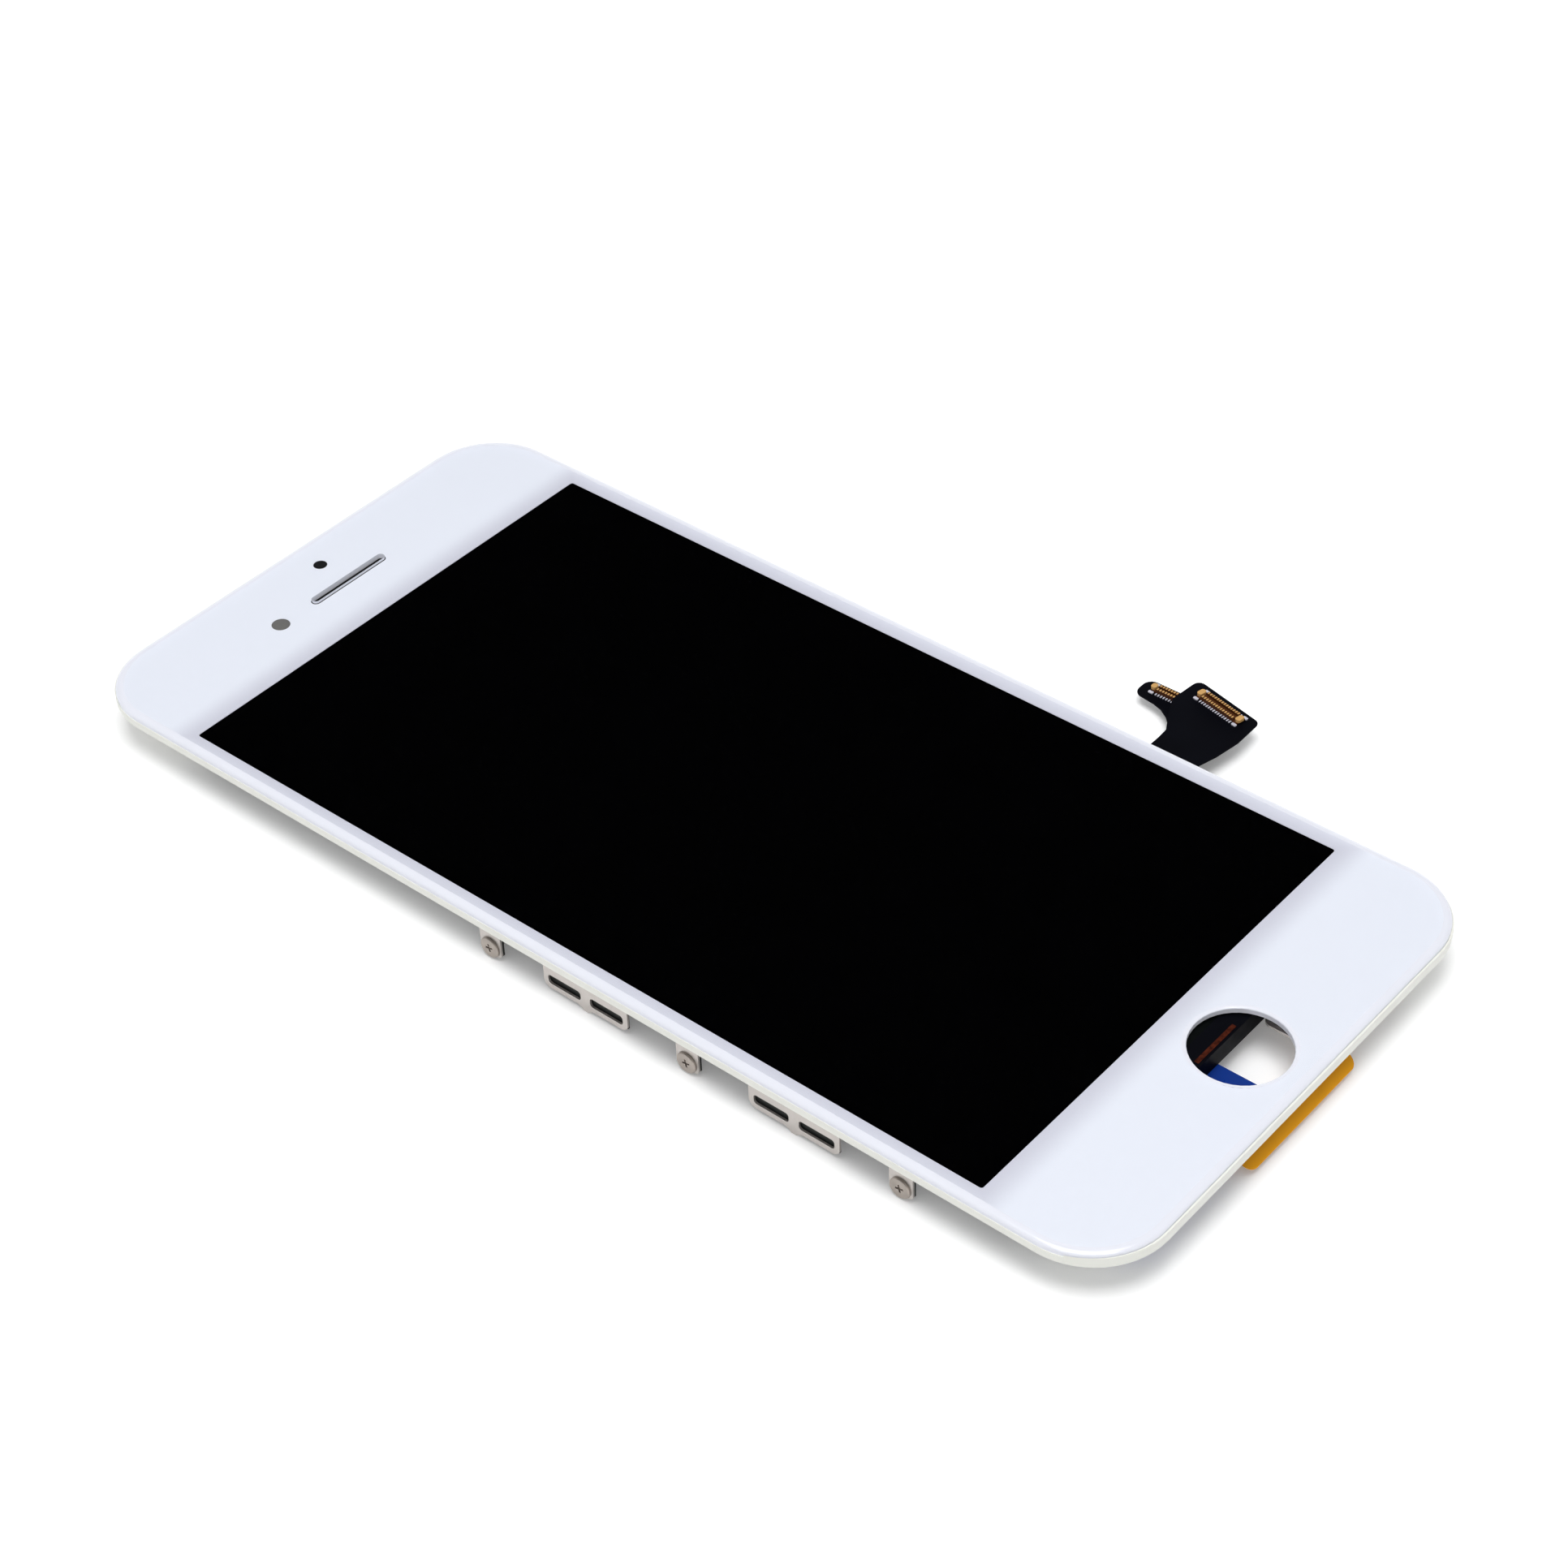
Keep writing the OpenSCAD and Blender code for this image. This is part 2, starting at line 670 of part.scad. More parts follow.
// Steel bracket under the earpiece end, with its threads and the hooks the end rests on
top_y1 = glass_l / 2 - 1.5;
module top_bracket() {
    color([0.7, 0.69, 0.67]) difference() {
        union() {
            layer(rail_h, rail_h + bracket_t) span(
                -ear_post_pitch / 2 - 2.5, ear_post_pitch / 2 + 2.5, ear_y - 4, top_y1
            );
            for (s = [-1, 1]) {
                translate([s * hook_pitch / 2, 0]) {
                    translate([-hook_w / 2, top_y1 - bracket_t, -floor_h])
                        cube([hook_w, bracket_t, floor_h - rail_h]);
                    translate([-hook_w / 2, top_y1 - 1.6, -floor_h])
                        cube([hook_w, 1.6, bracket_t]);
                }
                layer(rail_h, rail_h + 1.2)
                    translate([s * ear_post_pitch / 2, ear_y]) circle(post_d / 2);
            }
        }
        layer(rail_h - cut, rail_h + 1.2 + cut) {
            for (s = [-1, 1]) translate([s * ear_post_pitch / 2, ear_y]) circle(thread_d / 2);
            at_ear() slot_shape(ear_l + 2, ear_w + 2);
            at_camera() circle(camera_d / 2 + 1.7);
            at_sensor() circle(spot_r + free);
        }
    }
}

// Steel bracket round the home button, on posts below the bezel's ledge
module bottom_bracket() {
    y1 = module_y0 - free;
    y0 = -glass_l / 2 + 0.9;
    arm_x = post_pitch / 2 + 4.5;
    open_x = -post_pitch / 2 + 2;
    ear_r = 1;
    color([0.68, 0.64, 0.63]) difference() {
        union() {
            layer(shield_h, shield_h + bracket_t) difference() {
                span(-arm_x, arm_x, y0, y1);
                translate([(bracket_ear_x + open_x) / 2, (y1 + cut - pull_start) / 2])
                    round_rect(bracket_ear_x - open_x, y1 + cut + pull_start, 0.9);
                translate([bracket_ear_x, y1]) difference() {
                    square(2 * ear_r, center = true);
                    translate([ear_r, -ear_r]) circle(ear_r);
                }
            }
            layer(rail_h, shield_h + 0.1) at_posts() circle(post_d / 2);
        }
        layer(rail_h - cut, shield_h + bracket_t + cut) at_posts() circle(thread_d / 2);
    }
}

// Places of the home button bracket's two threads
module at_posts() {
    for (s = [-1, 1]) translate([s * post_pitch / 2, -home_y]) children();
}

// Outline of the tail and head of the display circuit, from the glass's edge outwards
function display_tail() = concat(
    [[-1.7, -2.6], [3, -3.04], [5.37, -3.68], [8.74, -4.21]],
    arc([12.3, -3.35], 0.8, 270, 348, 5),
    arc([14, 4.35], 0.85, 348, 444, 6),
    [[10.66, 5.56], [9.58, 5.1], [7.55, 4.04], [5.88, 3.1], [4.4, 3], [-1.7, 3]]
);

// Outline of the tail and head of the touch circuit
function touch_tail() = concat(
    [[-9.7, -2.1], [-1.7, -2.1], [5.5, -2.1], [9.3, -0.2], [12.9, 3.1]],
    arc([11.7, 8.95], 1.15, 0, 90, 5),
    arc([10.9, 9], 1.1, 90, 180, 5),
    [[9.6, 7.3], [9.25, 6.1], [8.5, 4.9], [7.5, 3.9], [6.28, 3.3], [4.8, 3.05]],
    [[-1.7, 3.05], [-9.7, 3.05]]
);

// Places an outline of the tail beside the glass
module at_tail() {
    translate([glass_w / 2, tail_y]) children();
}

// The display circuit's run on the shield's back, from the fold to the tail
module display_run() {
    x0 = fold_x - fold_w / 2;
    x1 = fold_x + fold_w / 2;
    out_x = glass_w / 2 - 1;
    polygon([
        [x0, fold_y - flex_t], [x1, fold_y - flex_t], [x1, tail_y - 20], [x1 + 5, tail_y - 14],
        [x1 + 5, tail_y - 7], [x1 + 10, tail_y - 2.7], [out_x, tail_y - 2.6], [out_x, tail_y + 3],
        [x1 + 6, tail_y + 3], [x1 - 4, tail_y - 7], [x1 - 5, tail_y - 18], [x0, tail_y - 18]
    ]);
    at_tail() polygon(display_tail() * tail_k);
}

// Circuit bonded to the ledge, folded round the module's end and led out at the side
module display_flex() {
    color([0.03, 0.03, 0.045]) {
        layer(display_h, display_end) display_run();
        layer(fold_h, display_end) translate([fold_x, fold_y - flex_t / 2])
            square([fold_w, flex_t], center = true);
        layer(fold_h, fold_h + flex_t)
            span(fold_x - fold_w / 2, fold_x + fold_w / 2, fold_y - flex_t, panel_y0 + 1.6);
    }
}

// Bare copper where the circuit is bonded
module bond_strip() {
    color([0.4, 0.16, 0.06]) layer(fold_h - seat - 0.03, fold_h - seat)
        span(fold_x - 6.6, fold_x - 0.2, panel_y0 - 0.55, panel_y0 - 0.05);
}

// Places a connector's parts: the head's middle, its turn and its face
module at_display_plug() {
    translate([display_plug[0], display_plug[1], 0]) rotate([0, 0, -head_turn]) children();
}
module at_touch_plug() {
    translate([touch_plug[0], touch_plug[1], 0]) children();
}

// Connector pieces around their own middle: width w, length l of the rows, face at depth h
function row_x(w) = w / 2 - 0.17;
module plug_body(w, l, h) {
    layer(h - seat - 0.2, h - seat) square([w, l + 2 * cap_l - 0.2], center = true);
    for (s = [-1, 1]) {
        layer(h - seat - plug_h + 0.06, h - seat)
            translate([s * row_x(w), 0]) square([0.3, l + 0.1], center = true);
    }
}
module plug_contacts(w, l, count, h) {
    for (s = [-1, 1], i = [0:count - 1]) {
        layer(h - seat - plug_h, h - seat - plug_h + 0.05)
            translate([s * row_x(w), (i - (count - 1) / 2) * pin_pitch])
                square([0.32, pin_pitch * 0.5], center = true);
    }
    for (s = [-1, 1]) {
        layer(h - seat - plug_h, h - seat - 0.21)
            translate([0, s * (l + cap_l + 0.2) / 2]) round_rect(0.8 * w, cap_l - 0.1, 0.25);
    }
}
module plug_leads(w, l, count, h) {
    for (s = [-1, 1], i = [0:count - 1]) {
        layer(h - seat - 0.08, h - seat)
            translate([s * (w / 2 + 0.2), (i - (count - 1) / 2) * pin_pitch])
                square([0.36, pin_pitch * 0.45], center = true);
    }
    for (sx = [-1, 1], sy = [-1, 1]) {
        layer(h - seat - 0.12, h - seat)
            translate([sx * (w / 2 + 0.22), sy * (l + cap_l + 0.2) / 2])
                round_rect(0.38, 0.62, 0.12);
    }
}

module display_backing() {
    color([0.5, 0.5, 0.5]) layer(display_end + seat, display_end + seat + backing_t)
        at_display_plug() translate([-0.35, 0]) round_rect(3, plug_l + 2.6, 0.5);
}
module display_connector() {
    color([0.2, 0.12, 0.07]) at_display_plug() plug_body(plug_w, plug_l, display_h);
}
module display_contacts() {
    color([0.83, 0.62, 0.3]) at_display_plug() plug_contacts(plug_w, plug_l, display_pins, display_h);
}
module display_leads() {
    color([0.75, 0.76, 0.8]) at_display_plug() plug_leads(plug_w, plug_l, display_pins, display_h);
}

// Touch circuit behind the display circuit; its head hangs lower
module touch_flex() {
    start_x = glass_w / 2 - 12;
    slope_x0 = glass_w / 2 + 1.3 * tail_k;
    slope_x1 = glass_w / 2 + 5.8 * tail_k;
    end_x = glass_w / 2 + 2 * tail_reach;
    color([0.05, 0.05, 0.06]) intersection() {
        layer(touch_h - cut, touch_head_h + flex_t + cut) at_tail() polygon(touch_tail() * tail_k);
        translate([0, tail_y, 0]) rotate([90, 0, 0]) linear_extrude(3 * tail_reach, center = true)
            polygon([
                [start_x, -touch_h], [slope_x0, -touch_h], [slope_x1, -touch_head_h],
                [end_x, -touch_head_h], [end_x, -touch_head_h - flex_t],
                [slope_x1 - 0.03, -touch_head_h - flex_t], [slope_x0 - 0.03, -touch_h - flex_t],
                [start_x, -touch_h - flex_t]
            ]);
    }
}
module touch_backing() {
    color([0.5, 0.5, 0.5])
        layer(touch_head_h + flex_t + seat, touch_head_h + flex_t + seat + backing_t)
            at_touch_plug() round_rect(2.2, touch_l + 1.4, 0.4);
}
module touch_connector() {
    color([0.2, 0.12, 0.07]) at_touch_plug() plug_body(touch_w, touch_l, touch_head_h);
}
module touch_contacts() {
    color([0.83, 0.62, 0.3]) at_touch_plug() plug_contacts(touch_w, touch_l, touch_pins, touch_head_h);
}
module touch_leads() {
    color([0.75, 0.76, 0.8]) at_touch_plug() plug_leads(touch_w, touch_l, touch_pins, touch_head_h);
}

// Blue film on the back, seen through the home button hole
module blue_film() {
    color([0.03, 0.12, 0.5]) layer(film_h, film_h + film_t)
        span(film_x1 - film_w, film_x1, film_y0, fold_y + 12);
}

// Orange pull tab stuck to the film, its free edge hanging
module pull_tab() {
    top_h = film_h + film_t + seat;
    bend_y = film_y0 + 0.5;
    start_y = -pull_start;
    middle_x = -0.2;
    color([0.84, 0.56, 0.08]) intersection() {
        layer(0, floor_h) translate([middle_x, (start_y - pull_reach) / 2])
            round_rect(pull_w, pull_reach + start_y, 1.1);
        translate([middle_x, 0, 0]) rotate([90, 0, 90]) linear_extrude(pull_w + 2, center = true)
            polygon([
                [start_y, -top_h], [bend_y, -top_h], [-pull_reach, -pull_h],
                [-pull_reach - 0.06, -pull_h - pull_t], [bend_y - 0.06, -top_h - pull_t],
                [start_y, -top_h - pull_t]
            ]);
    }
}

cover_glass();
border_print();
sensor_spot();
camera_ring();
earpiece_mesh();
optical_adhesive();
front_polariser();
filter_glass();
circuit_glass();
driver_chip();
rear_polariser();
prism_film();
diffuser_film();
light_guide();
reflector_film();
backlight_frame();
lamp_strip();
backlight_chassis();
shield_pads();
bezel_frame();
left_rail();
right_rail();
side_screws();
shield_plate();
top_bracket();
bottom_bracket();
display_flex();
bond_strip();
display_backing();
display_connector();
display_contacts();
display_leads();
touch_flex();
touch_backing();
touch_connector();
touch_contacts();
touch_leads();
blue_film();
pull_tab();
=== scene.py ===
"""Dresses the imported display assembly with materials, light and the photo's camera."""
import math

import bpy
from mathutils import Matrix, Vector
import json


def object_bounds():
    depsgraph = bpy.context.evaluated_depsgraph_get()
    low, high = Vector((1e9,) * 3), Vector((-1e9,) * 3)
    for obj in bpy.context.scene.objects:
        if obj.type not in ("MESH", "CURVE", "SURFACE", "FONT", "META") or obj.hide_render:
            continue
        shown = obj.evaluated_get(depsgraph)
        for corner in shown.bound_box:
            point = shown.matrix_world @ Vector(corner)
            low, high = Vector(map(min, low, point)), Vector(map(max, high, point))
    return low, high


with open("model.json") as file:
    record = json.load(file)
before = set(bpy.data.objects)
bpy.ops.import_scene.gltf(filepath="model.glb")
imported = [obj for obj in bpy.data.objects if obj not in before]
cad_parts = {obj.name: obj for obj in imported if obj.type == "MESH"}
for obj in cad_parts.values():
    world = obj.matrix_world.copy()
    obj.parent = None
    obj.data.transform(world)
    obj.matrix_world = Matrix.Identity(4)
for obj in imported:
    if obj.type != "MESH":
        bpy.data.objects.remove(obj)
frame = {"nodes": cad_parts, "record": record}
low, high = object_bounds()
nodes = frame["nodes"]
MM = 0.001

# The black window's size, as in the part's source
WINDOW_W = 58.85 * MM
WINDOW_L = 104.9 * MM

# How far outside the window the painted shade beside it fades to the border's own white
WINDOW_SHADE_FADE = 3.6 * MM

GLASS_IOR = 1.5

# Noise stays mostly between these two values
NOISE_LOW = 0.3
NOISE_HIGH = 0.7

# Cells of a surface's broad colour patches for each cell of its fine grain
BROAD_SHARE = 0.25

# Places of the colour mix node's sockets
MIX_FACTOR = 0
MIX_COLOR_A = 6
MIX_COLOR_B = 7
MIX_RESULT = 2


# Node materials

def new_material(name):
    """An empty material with its node tree and output node."""
    mat = bpy.data.materials.new(name)
    mat.use_nodes = True
    tree = mat.node_tree
    tree.nodes.clear()
    out = tree.nodes.new("ShaderNodeOutputMaterial")
    return mat, tree, out


def noise(tree, scale, detail=4.0, stretch=(1, 1, 1)):
    """Noise over the object's own coordinates, with this many cells in a metre."""
    coord = tree.nodes.new("ShaderNodeTexCoord")
    mapping = tree.nodes.new("ShaderNodeMapping")
    mapping.inputs["Scale"].default_value = stretch
    tex = tree.nodes.new("ShaderNodeTexNoise")
    tex.inputs["Scale"].default_value = scale
    tex.inputs["Detail"].default_value = detail
    tree.links.new(coord.outputs["Object"], mapping.inputs["Vector"])
    tree.links.new(mapping.outputs["Vector"], tex.inputs["Vector"])
    return tex.outputs["Fac"]


def ramp(tree, socket, low_value, high_value):
    """Maps noise to a range of numbers."""
    node = tree.nodes.new("ShaderNodeMapRange")
    node.inputs["From Min"].default_value = NOISE_LOW
    node.inputs["From Max"].default_value = NOISE_HIGH
    node.inputs["To Min"].default_value = low_value
    node.inputs["To Max"].default_value = high_value
    tree.links.new(socket, node.inputs["Value"])
    return node.outputs["Result"]


def blend(tree, factor, a, b):
    """Mixes two colours, or colour sockets, by a factor socket or number."""
    node = tree.nodes.new("ShaderNodeMix")
    node.data_type = "RGBA"
    for value, at in ((factor, MIX_FACTOR), (a, MIX_COLOR_A), (b, MIX_COLOR_B)):
        if isinstance(value, bpy.types.NodeSocket):
            tree.links.new(value, node.inputs[at])
        elif at == MIX_FACTOR:
            node.inputs[at].default_value = value
        else:
            node.inputs[at].default_value = (*value, 1)
    return node.outputs[MIX_RESULT]


def bump(tree, height, strength, distance):
    """Small unevenness from a height socket, this many metres deep."""
    node = tree.nodes.new("ShaderNodeBump")
    node.inputs["Strength"].default_value = strength
    node.inputs["Distance"].default_value = distance
    tree.links.new(height, node.inputs["Height"])
    return node.outputs["Normal"]


def surface(name, color, rough=0.4, metal=0.0, vary=0.06, spread=0.05, cells=900.0,
            grain=0.15, depth=0.00002, stretch=(1, 1, 1), mirror=0.5):
    """A solid material with a little variation in colour, roughness and height."""
    mat, tree, out = new_material(name)
    shader = tree.nodes.new("ShaderNodeBsdfPrincipled")
    broad = noise(tree, cells * BROAD_SHARE, detail=3.0)
    fine = noise(tree, cells, stretch=stretch)
    dark = tuple(c * (1 - vary) for c in color)
    tree.links.new(blend(tree, ramp(tree, broad, 0.0, 1.0), color, dark), shader.inputs["Base Color"])
    tree.links.new(ramp(tree, fine, rough - spread, rough + spread), shader.inputs["Roughness"])
    tree.links.new(bump(tree, fine, grain, depth), shader.inputs["Normal"])
    shader.inputs["Metallic"].default_value = metal
    shader.inputs["Specular IOR Level"].default_value = mirror
    tree.links.new(shader.outputs["BSDF"], out.inputs["Surface"])
    return mat


def seen_rays(tree, kinds):
    """1 for rays of these kinds from a Light Path node, and 0 for all others."""
    path = tree.nodes.new("ShaderNodeLightPath")
    total = path.outputs[kinds[0]]
    for kind in kinds[1:]:
        both = tree.nodes.new("ShaderNodeMath")
        both.operation = "ADD"
        both.use_clamp = True
        tree.links.new(total, both.inputs[0])
        tree.links.new(path.outputs[kind], both.inputs[1])
        total = both.outputs["Value"]
    return total


def straight_through(tree, tint):
    """Lets everything pass straight, with a tint."""
    node = tree.nodes.new("ShaderNodeBsdfTransparent")
    node.inputs["Color"].default_value = (*tint, 1)
    return node.outputs["BSDF"]


def seen_through(tree, tint):
    """Bends what is seen through a face, while light and shadow pass straight."""
    bent = tree.nodes.new("ShaderNodeBsdfRefraction")
    bent.inputs["Color"].default_value = (*tint, 1)
    bent.inputs["Roughness"].default_value = 0.0
    bent.inputs["IOR"].default_value = GLASS_IOR
    mix = tree.nodes.new("ShaderNodeMixShader")
    tree.links.new(seen_rays(tree, ("Is Camera Ray", "Is Transmission Ray")), mix.inputs[0])
    tree.links.new(straight_through(tree, tint), mix.inputs[1])
    tree.links.new(bent.outputs["BSDF"], mix.inputs[2])
    return mix.outputs["Shader"]


def clear_shell(name, tint, strongest, rough, bends=False):
    """A see-through face with the mirror of glass, as strong as given, on its front only."""
    mat, tree, out = new_material(name)
    behind = seen_through(tree, tint) if bends else straight_through(tree, tint)
    shine = tree.nodes.new("ShaderNodeBsdfGlossy")
    shine.inputs["Color"].default_value = (1, 1, 1, 1)
    haze = noise(tree, scale=240.0, detail=3.0)
    tree.links.new(ramp(tree, haze, rough, rough * 1.4), shine.inputs["Roughness"])
    tree.links.new(bump(tree, haze, strength=0.01, distance=0.000002), shine.inputs["Normal"])
    fresnel = tree.nodes.new("ShaderNodeFresnel")
    fresnel.inputs["IOR"].default_value = GLASS_IOR
    face = tree.nodes.new("ShaderNodeNewGeometry")
    front = tree.nodes.new("ShaderNodeMath")
    front.operation = "SUBTRACT"
    front.inputs[0].default_value = strongest
    tree.links.new(face.outputs["Backfacing"], front.inputs[1])
    share = tree.nodes.new("ShaderNodeMath")
    share.operation = "MULTIPLY"
    share.use_clamp = True
    tree.links.new(fresnel.outputs["Fac"], share.inputs[0])
    tree.links.new(front.outputs["Value"], share.inputs[1])
    mix = tree.nodes.new("ShaderNodeMixShader")
    tree.links.new(share.outputs["Value"], mix.inputs[0])
    tree.links.new(behind, mix.inputs[1])
    tree.links.new(shine.outputs["BSDF"], mix.inputs[2])
    tree.links.new(mix.outputs["Shader"], out.inputs["Surface"])
    return mat


def past_window(tree):
    """How far a point of the border lies outside the window, in metres."""
    coord = tree.nodes.new("ShaderNodeTexCoord")
    split = tree.nodes.new("ShaderNodeSeparateXYZ")
    tree.links.new(coord.outputs["Object"], split.inputs["Vector"])
    sides = []
    for axis, size in (("X", WINDOW_W), ("Y", WINDOW_L)):
        across = tree.nodes.new("ShaderNodeMath")
        across.operation = "ABSOLUTE"
        tree.links.new(split.outputs[axis], across.inputs[0])
        past = tree.nodes.new("ShaderNodeMath")
        past.operation = "SUBTRACT"
        past.inputs[1].default_value = size / 2
        tree.links.new(across.outputs["Value"], past.inputs[0])
        sides.append(past.outputs["Value"])
    far = tree.nodes.new("ShaderNodeMath")
    far.operation = "MAXIMUM"
    tree.links.new(sides[0], far.inputs[0])
    tree.links.new(sides[1], far.inputs[1])
    return far.outputs["Value"]


def border_ink_painted_shade(name, color, shade_beside_window):
    """White ink with painted shade: greyer beside the black window, fading to its own white."""
    mat = surface(name, color, 0.5, vary=0.008, cells=4000, grain=0.02, depth=0.000005)
    tree = mat.node_tree
    shader = next(node for node in tree.nodes if node.type == "BSDF_PRINCIPLED")
    ink = shader.inputs["Base Color"].links[0].from_socket
    # Painted shade: the ink is blended towards a grey near the window's edge
    fade = tree.nodes.new("ShaderNodeMapRange")
    fade.interpolation_type = "SMOOTHSTEP"
    fade.inputs["From Min"].default_value = 0.0
    fade.inputs["From Max"].default_value = WINDOW_SHADE_FADE
    tree.links.new(past_window(tree), fade.inputs["Value"])
    tree.links.new(blend(tree, fade.outputs["Result"], shade_beside_window, ink), shader.inputs["Base Color"])
    return mat


def milky_edge(mat):
    """Lets light into the glass through its milky edge, so that the print below it is lit."""
    tree = mat.node_tree
    out = next(node for node in tree.nodes if node.type == "OUTPUT_MATERIAL")
    solid = out.inputs["Surface"].links[0].from_socket
    mix = tree.nodes.new("ShaderNodeMixShader")
    tree.links.new(seen_rays(tree, ("Is Shadow Ray", "Is Diffuse Ray")), mix.inputs[0])
    tree.links.new(solid, mix.inputs[1])
    tree.links.new(straight_through(tree, (1, 1, 1)), mix.inputs[2])
    tree.links.new(mix.outputs["Shader"], out.inputs["Surface"])
    return mat


def mesh_cloth(name):
    """Fine dark weave for the earpiece."""
    mat, tree, out = new_material(name)
    shader = tree.nodes.new("ShaderNodeBsdfPrincipled")
    coord = tree.nodes.new("ShaderNodeTexCoord")
    cells = tree.nodes.new("ShaderNodeTexChecker")
    cells.inputs["Scale"].default_value = 9000.0
    cells.inputs["Color1"].default_value = (0.014, 0.014, 0.015, 1)
    cells.inputs["Color2"].default_value = (0.003, 0.003, 0.003, 1)
    tree.links.new(coord.outputs["Object"], cells.inputs["Vector"])
    grime = noise(tree, scale=2500.0)
    tree.links.new(
        blend(tree, ramp(tree, grime, 0.0, 0.4), cells.outputs["Color"], (0.01, 0.01, 0.01)),
        shader.inputs["Base Color"],
    )
    tree.links.new(ramp(tree, grime, 0.5, 0.7), shader.inputs["Roughness"])
    shader.inputs["Specular IOR Level"].default_value = 0.1
    weave = bump(tree, cells.outputs["Fac"], strength=0.4, distance=0.00003)
    tree.links.new(weave, shader.inputs["Normal"])
    tree.links.new(shader.outputs["BSDF"], out.inputs["Surface"])
    return mat


MATERIALS = {
    "cover_glass": clear_shell("cover_glass", (0.995, 0.998, 1.0), strongest=1.0, rough=0.01, bends=True),
    "glass_edge": milky_edge(surface("glass_edge", (0.80, 0.81, 0.88), 0.12, vary=0.01, spread=0.02,
                                     cells=500, grain=0.01, depth=0.000005)),
    "clear_adhesive": clear_shell("clear_adhesive", (0.99, 0.99, 0.99), strongest=0.0, rough=0.1),
    # white_print carries painted shade beside the window, given by its last colour
    "white_print": border_ink_painted_shade("white_print", (0.82, 0.84, 0.915), (0.63, 0.63, 0.71)),
    "dark_print": surface("dark_print", (0.004, 0.004, 0.005), 0.4, vary=0.2),
    "grey_plastic": surface("grey_plastic", (0.16, 0.155, 0.145), 0.5, vary=0.15),
    "dark_mesh": mesh_cloth("dark_mesh"),
    "polariser": surface("polariser", (0.0008, 0.0008, 0.001), 0.55, vary=0.2, grain=0.02,
                         mirror=0.0),
    "panel_glass": surface("panel_glass", (0.004, 0.005, 0.005), 0.3, vary=0.1, grain=0.02, mirror=0.02),
    "chip": surface("chip", (0.03, 0.03, 0.035), 0.2, vary=0.2),
    "clear_film": surface("clear_film", (0.75, 0.79, 0.82), 0.2, vary=0.04, grain=0.05),
    "white_film": surface("white_film", (0.82, 0.82, 0.8), 0.6, vary=0.04),
    "white_plastic": surface("white_plastic", (0.76, 0.76, 0.73), 0.5, vary=0.04),
    "lamp": surface("lamp", (0.8, 0.68, 0.25), 0.35, vary=0.1),
    "steel": surface("steel", (0.42, 0.43, 0.44), 0.35, metal=1.0, vary=0.1, stretch=(1, 12, 1)),
    "black_foam": surface("black_foam", (0.012, 0.012, 0.013), 0.85, vary=0.3, grain=0.5),
    "bezel_plastic": surface("bezel_plastic", (0.86, 0.86, 0.80), 0.38, vary=0.03, cells=1500),
    "rail_steel": surface("rail_steel", (0.60, 0.56, 0.53), 0.42, metal=0.75, vary=0.1, spread=0.08,
                          cells=2200, grain=0.2, depth=0.000015, stretch=(1, 6, 1)),
    "screw_steel": surface("screw_steel", (0.42, 0.37, 0.33), 0.36, metal=0.7, vary=0.15, spread=0.08,
                           cells=3000, grain=0.2, depth=0.000015),
    "dark_steel": surface("dark_steel", (0.010, 0.012, 0.011), 0.4, vary=0.25, spread=0.1, cells=1200,
                          mirror=0.3),
    "black_film": surface("black_film", (0.0025, 0.0028, 0.0055), 0.5, vary=0.3, cells=700,
                          grain=0.1, mirror=0.04),
    "copper": surface("copper", (0.09, 0.016, 0.006), 0.6, metal=0.1, vary=0.75, spread=0.1,
                      cells=9000, mirror=0.05),
    "connector_plastic": surface("connector_plastic", (0.10, 0.028, 0.006), 0.5, vary=0.3, mirror=0.2),
    "gold": surface("gold", (0.74, 0.43, 0.15), 0.4, metal=0.2, vary=0.12, spread=0.08, cells=4000),
    "tin": surface("tin", (0.72, 0.71, 0.80), 0.35, metal=0.2, vary=0.15, spread=0.1, cells=4000),
    "blue_film": surface("blue_film", (0.003, 0.04, 0.30), 0.3, vary=0.25, cells=500),
    "orange_film": surface("orange_film", (0.92, 0.40, 0.008), 0.4, vary=0.12, cells=500, mirror=0.2),
}


# Materials go on the CAD nodes, with smooth shading across their fine facets

SHARP_ANGLE = math.radians(32)
BEVEL_ANGLE = math.radians(40)

# Widths of the softened edges, in millimetres
BEVELS = {
    "left_rail": 0.05,
    "right_rail": 0.05,
    "side_screws": 0.03,
    "top_bracket": 0.04,
    "bottom_bracket": 0.04,
    "display_connector": 0.03,
    "display_contacts": 0.015,
    "touch_connector": 0.03,
    "touch_contacts": 0.015,
}

slots = {part["node"]: part["material_slot"] for part in frame["record"]["subparts"]}
for name, obj in nodes.items():
    mesh = obj.data
    mesh.materials.clear()
    mesh.materials.append(MATERIALS[slots[name]])
    mesh.shade_smooth()
    mesh.set_sharp_from_angle(angle=SHARP_ANGLE)
    if name in BEVELS:
        rounding = obj.modifiers.new("edge", "BEVEL")
        rounding.width = BEVELS[name] * MM
        rounding.segments = 2
        rounding.limit_method = "ANGLE"
        rounding.angle_limit = BEVEL_ANGLE
        rounding.harden_normals = True


# The glass is clear on its two flat faces and shows as a milky solid from the side

CLEAR_SLOT = 0
EDGE_SLOT = 1
FLAT_NORMAL_Z = 0.9999

glass = nodes["cover_glass"].data
glass.materials.append(MATERIALS["glass_edge"])
for face in glass.polygons:
    face.material_index = CLEAR_SLOT if abs(face.normal.z) > FLAT_NORMAL_Z else EDGE_SLOT


# Floor, world and lamps

FLOOR_Z = low[2]
FLOOR_REACH = 3.0

# Added to the lit floor where it is seen, so that it renders white
FLOOR_GLOW = 0.15

# Strength of the even light from all round
SKY_STRENGTH = 0.46

